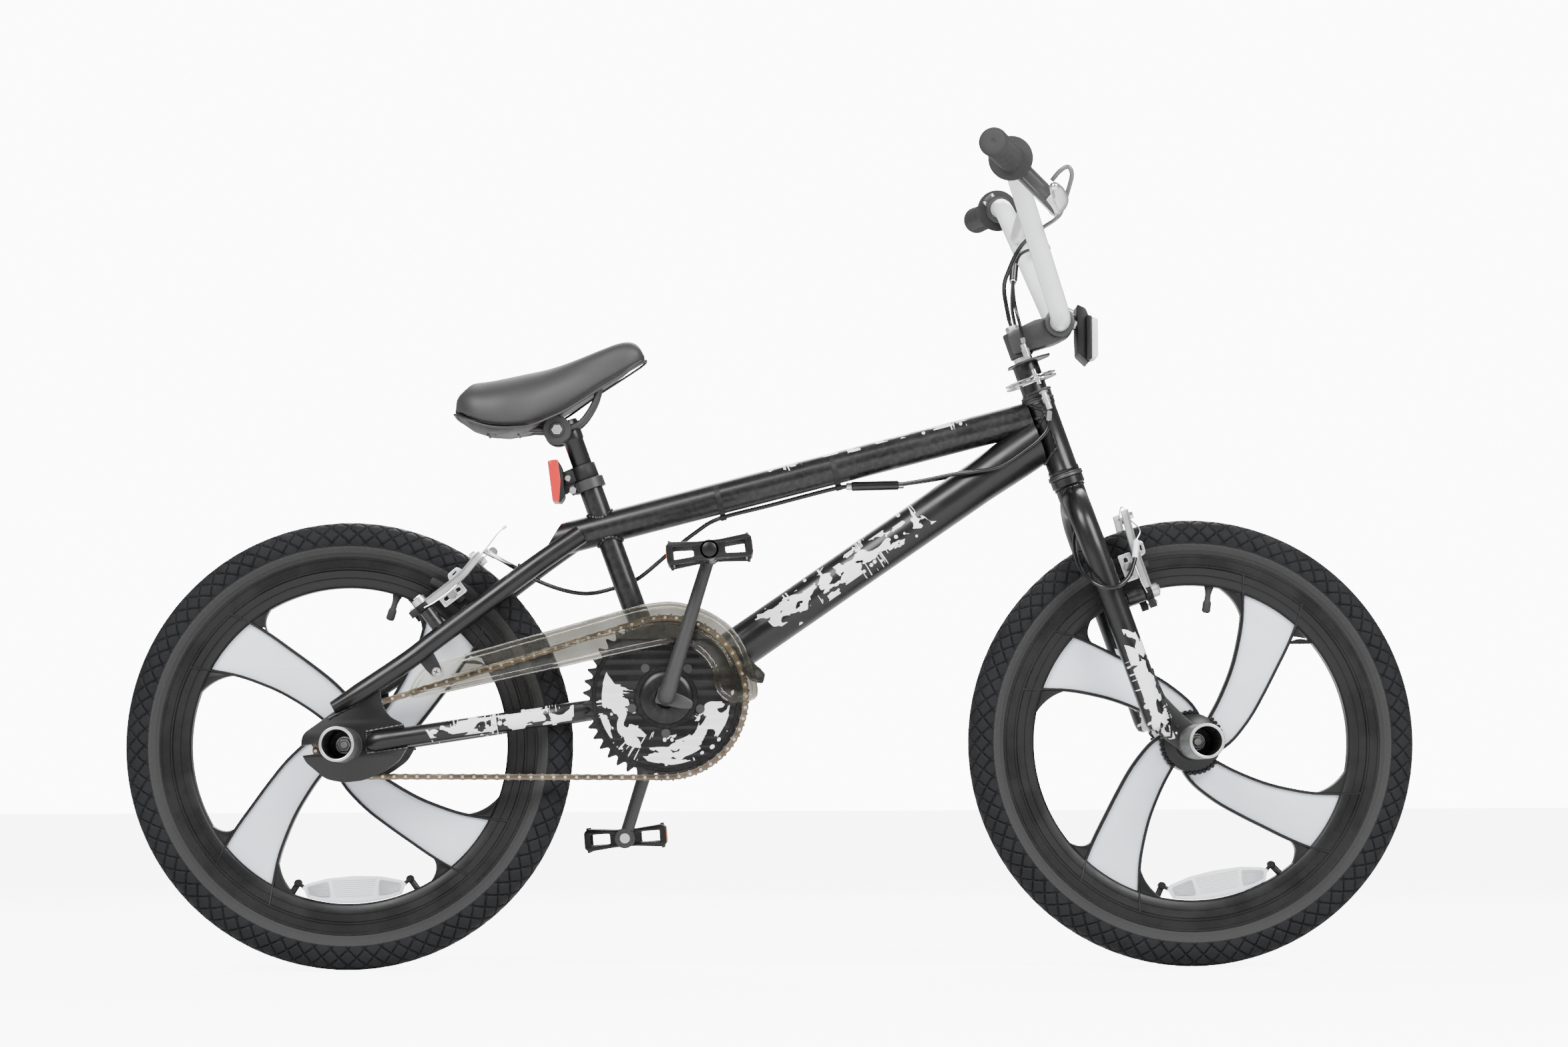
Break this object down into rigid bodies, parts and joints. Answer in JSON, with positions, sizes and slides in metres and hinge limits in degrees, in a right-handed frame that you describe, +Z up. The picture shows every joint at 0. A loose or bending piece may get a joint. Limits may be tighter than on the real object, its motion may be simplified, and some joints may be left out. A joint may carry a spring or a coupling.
{
  "type": "freestyle bmx bike",
  "caption": "Freestyle bmx bike with a steel frame, cable rotor, moulded nylon wheels, foot pegs, one-piece crank and rim brakes front and rear.",
  "frame": {"origin": "on the ground below the middle of the wheelbase", "axes": "+X forwards from the rear wheel to the front wheel, +Z up, the chain is on the -Y side"},
  "size_m": [1.4484, 0.6771, 0.9108],
  "materials": {
    "black_paint": "satin black powder coat with fine white splatter on some tubes",
    "chainring_paint": "satin black with coarse white splatter",
    "black_metal": "black coated steel and alloy, slightly worn",
    "silver_metal": "polished silver plated metal",
    "white_paint": "gloss white",
    "grip_rubber": "matt black rubber with flats and ribs",
    "tyre_rubber": "black rubber with diamond block tread",
    "wheel_nylon": "black moulded nylon with pale blue-white panels",
    "chain_metal": "bronze-brown plates with bright pins",
    "guard_plastic": "smoky translucent plastic",
    "cable_jacket": "black jacket",
    "saddle_vinyl": "black grained vinyl",
    "red_lens": "red prismatic lens in a black bracket",
    "clear_lens": "clear prismatic lens",
    "pedal_nylon": "black nylon with steel pins and amber reflectors"
  },
  "bodies": {
    "frame": {"head_tube": "black_paint", "top_tube": "black_paint", "down_tube": "black_paint", "seat_tube": "black_paint", "chainstay_right": "black_paint", "chainstay_left": "black_paint", "seatstay_right": "black_paint", "seatstay_left": "black_paint", "seat_clamp": "black_metal", "gyro_bottom_plate": "black_metal", "chain_guard": "guard_plastic", "chain": "chain_metal", "rear_brake_cable": "cable_jacket", "rear_axle": "silver_metal", "rear_peg_right": "black_metal", "rear_peg_left": "black_metal", "bb_bearings": "black_metal", "headset_lower_cup": "silver_metal", "headset_upper_cup": "silver_metal"},
    "steering": {"fork_steerer": "black_paint", "fork_leg_right": "black_paint", "fork_leg_left": "black_paint", "stem": "black_metal", "handlebar": "white_paint", "grip_right": "grip_rubber", "grip_left": "grip_rubber", "lever_mount_right": "black_metal", "lever_mount_left": "black_metal", "front_reflector": "clear_lens", "gyro_top_plate": "black_metal", "gyro_upper_cable": "cable_jacket", "front_brake_cable": "cable_jacket", "front_axle": "silver_metal", "front_peg_right": "black_metal", "front_peg_left": "black_metal"},
    "brake_lever_right": {"brake_lever_right": "silver_metal"},
    "brake_lever_left": {"brake_lever_left": "silver_metal"},
    "gyro_upper": {"gyro_upper_disc": "silver_metal"},
    "gyro_lower": {"gyro_lower_disc": "silver_metal"},
    "front_brake_arm_right": {"front_brake_arm_right": "silver_metal"},
    "front_brake_arm_left": {"front_brake_arm_left": "silver_metal"},
    "rear_brake_arm_right": {"rear_brake_arm_right": "silver_metal"},
    "rear_brake_arm_left": {"rear_brake_arm_left": "silver_metal"},
    "front_wheel": {"front_wheel": "wheel_nylon", "front_tyre": "tyre_rubber", "front_wheel_reflector": "clear_lens", "front_hub_bearings": "silver_metal"},
    "rear_wheel": {"rear_wheel": "wheel_nylon", "rear_tyre": "tyre_rubber", "rear_wheel_reflector": "clear_lens", "rear_hub_bearings": "silver_metal"},
    "freewheel": {"freewheel": "black_metal"},
    "crank": {"crank": "black_metal", "chainring": "chainring_paint"},
    "pedal_right": {"pedal_right": "pedal_nylon"},
    "pedal_left": {"pedal_left": "pedal_nylon"},
    "seatpost": {"seatpost": "black_paint", "rear_reflector": "red_lens"},
    "saddle": {"saddle": "saddle_vinyl", "saddle_clamp": "black_metal"}
  },
  "joints": [
    {"name": "steering_turn", "type": "hinge", "parent": "frame", "child": "steering", "pos_m": [0.335, 0, 0.5521], "axis": [-0.3338, 0, 0.9426], "continuous": true},
    {"name": "front_wheel_spin", "type": "hinge", "parent": "steering", "child": "front_wheel", "pos_m": [0.47315, 0, 0.251], "axis": [0, 1, 0], "continuous": true},
    {"name": "rear_wheel_spin", "type": "hinge", "parent": "frame", "child": "rear_wheel", "pos_m": [-0.47315, 0, 0.251], "axis": [0, 1, 0], "continuous": true},
    {"name": "crank_spin", "type": "hinge", "parent": "frame", "child": "crank", "pos_m": [-0.117, 0, 0.303], "axis": [0, 1, 0], "continuous": true},
    {"name": "freewheel_spin", "type": "hinge", "parent": "frame", "child": "freewheel", "pos_m": [-0.47315, 0, 0.251], "axis": [0, 1, 0], "continuous": true},
    {"name": "pedal_right_spin", "type": "hinge", "parent": "crank", "child": "pedal_right", "pos_m": [-0.06793, -0.13, 0.46054], "axis": [0, 1, 0], "continuous": true},
    {"name": "pedal_left_spin", "type": "hinge", "parent": "crank", "child": "pedal_left", "pos_m": [-0.16607, 0.13, 0.14546], "axis": [0, 1, 0], "continuous": true},
    {"name": "brake_lever_right_pull", "type": "hinge", "parent": "steering", "child": "brake_lever_right", "pos_m": [0.31205, -0.2013, 0.83092], "axis": [-0.7066, 0.0315, -0.7069], "range_deg": [0, 16], "stiffness_Nm_per_rad": 3},
    {"name": "brake_lever_left_pull", "type": "hinge", "parent": "steering", "child": "brake_lever_left", "pos_m": [0.32512, 0.19582, 0.83555], "axis": [0.7066, -0.0315, 0.7069], "range_deg": [0, 16], "stiffness_Nm_per_rad": 3},
    {"name": "front_brake_arm_right_close", "type": "hinge", "parent": "steering", "child": "front_brake_arm_right", "pos_m": [0.42394, -0.046, 0.41927], "axis": [-0.9426, 0, -0.3338], "range_deg": [0, 4]},
    {"name": "front_brake_arm_left_close", "type": "hinge", "parent": "steering", "child": "front_brake_arm_left", "pos_m": [0.42394, 0.046, 0.41927], "axis": [0.9426, 0, 0.3338], "range_deg": [0, 4]},
    {"name": "rear_brake_arm_right_close", "type": "hinge", "parent": "frame", "child": "rear_brake_arm_right", "pos_m": [-0.38818, -0.046, 0.40654], "axis": [-0.602, 0, 0.7985], "range_deg": [0, 4]},
    {"name": "rear_brake_arm_left_close", "type": "hinge", "parent": "frame", "child": "rear_brake_arm_left", "pos_m": [-0.38818, 0.046, 0.40654], "axis": [0.602, 0, -0.7985], "range_deg": [0, 4]},
    {"name": "gyro_lower_slide", "type": "slide", "parent": "frame", "child": "gyro_lower", "axis": [-0.3338, 0, 0.9426], "range_m": [0, 0.0061]},
    {"name": "gyro_upper_slide", "type": "slide", "parent": "steering", "child": "gyro_upper", "axis": [-0.3338, 0, 0.9426], "range_m": [0, 0.0061]},
    {"name": "seatpost_slide", "type": "slide", "parent": "frame", "child": "seatpost", "axis": [-0.3387, 0, 0.9409], "range_m": [0, 0.08]},
    {"name": "saddle_tilt", "type": "hinge", "parent": "seatpost", "child": "saddle", "pos_m": [-0.23949, 0, 0.60485], "axis": [0, 1, 0], "range_deg": [-15, 15]}
  ],
  "couplings": [
    {"joint": "freewheel_spin", "follows": "crank_spin", "ratio": 2.5882},
    {"joint": "front_brake_arm_right_close", "follows": "brake_lever_right_pull", "ratio": 0.2},
    {"joint": "rear_brake_arm_right_close", "follows": "brake_lever_left_pull", "ratio": 0.2},
    {"joint": "front_brake_arm_left_close", "follows": "brake_lever_right_pull", "ratio": 0.2},
    {"joint": "rear_brake_arm_left_close", "follows": "brake_lever_left_pull", "ratio": 0.2},
    {"joint": "gyro_lower_slide", "follows": "brake_lever_left_pull", "m_per_rad": 0.0215},
    {"joint": "gyro_upper_slide", "follows": "brake_lever_left_pull", "m_per_rad": 0.0215}
  ]
}
